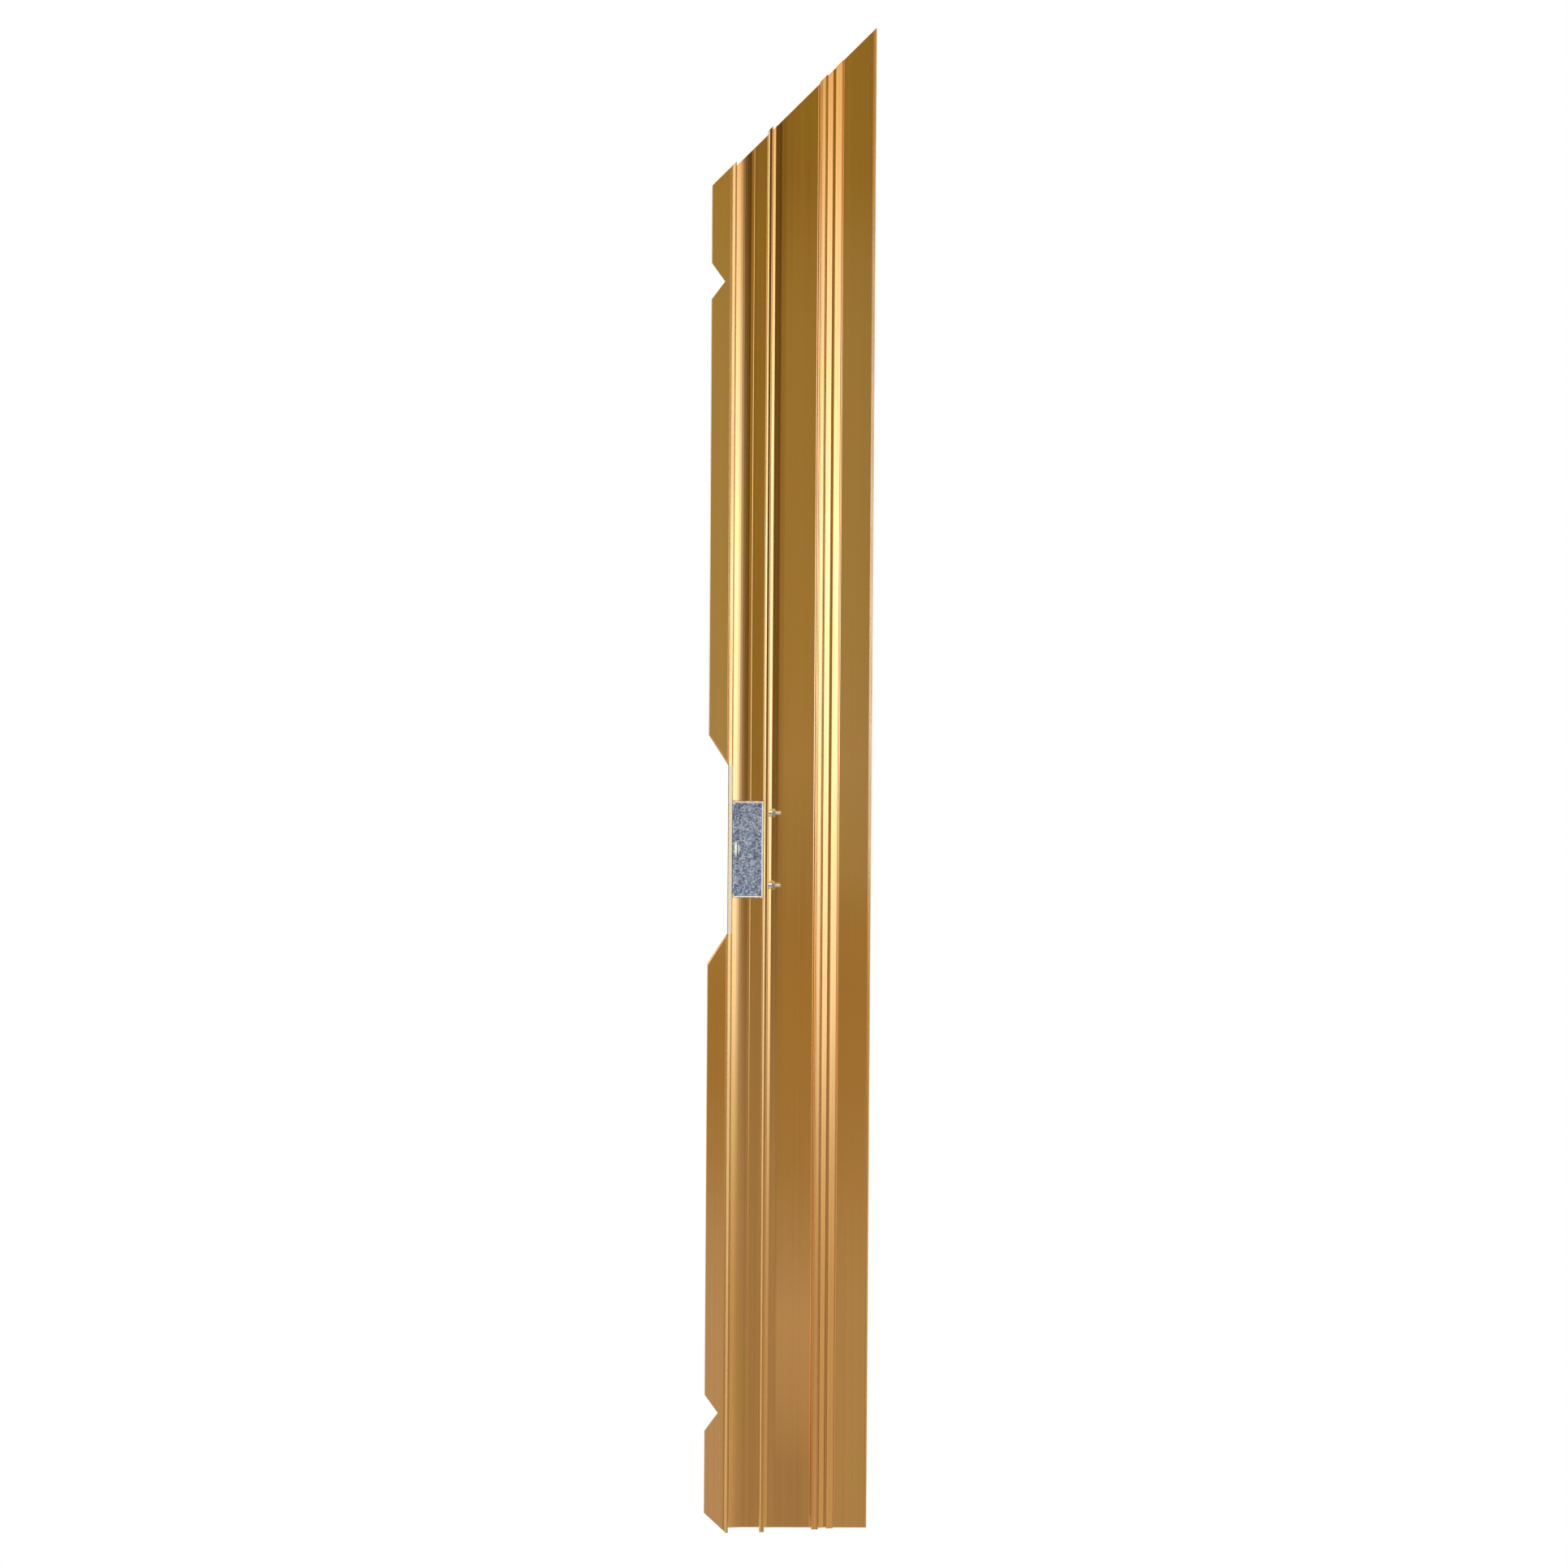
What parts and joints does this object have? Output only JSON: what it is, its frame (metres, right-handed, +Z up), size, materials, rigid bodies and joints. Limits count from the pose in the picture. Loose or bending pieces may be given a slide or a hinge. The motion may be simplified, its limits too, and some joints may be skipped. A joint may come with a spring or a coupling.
{
  "type": "door jamb guard profile",
  "caption": "Full-height anodised aluminium door-jamb guard profile, mitred at the top, with a folded steel lock-keeper tray screwed and riveted in its channel.",
  "frame": {"origin": "on the flat rear face (y = 0), at the middle of the profile's width and at the height of the lock bolt's axis (the middle of the keeper tray and of the flange cut-out)", "axes": "+Z up along the extrusion, towards the mitred end; +Y out of the flat rear (finished) face; +X across the width, from the notched front flange towards the beaded long edge; the channels, the fin and the tray face -Y"},
  "size_m": [0.217, 0.032, 2],
  "materials": {
    "gold_anodised": "gold anodised, satin, fine lengthwise die lines; bare metal on the sawn ends and cut edges",
    "zinc_sheet": "blue-passivated zinc plate with a mottled spangle",
    "zinc_fastener": "bright zinc plate",
    "rivet_steel": "bright zinc plate, polished head"
  },
  "bodies": {
    "root": {"jamb_profile": "gold_anodised", "keeper_tray": "zinc_sheet", "keeper_screw_upper": "zinc_fastener", "keeper_screw_lower": "zinc_fastener", "spacer_sleeve_upper": "zinc_fastener", "spacer_sleeve_lower": "zinc_fastener", "keeper_nut_upper": "zinc_fastener", "keeper_nut_lower": "zinc_fastener", "keeper_rivet": "rivet_steel"}
  },
  "joints": []
}
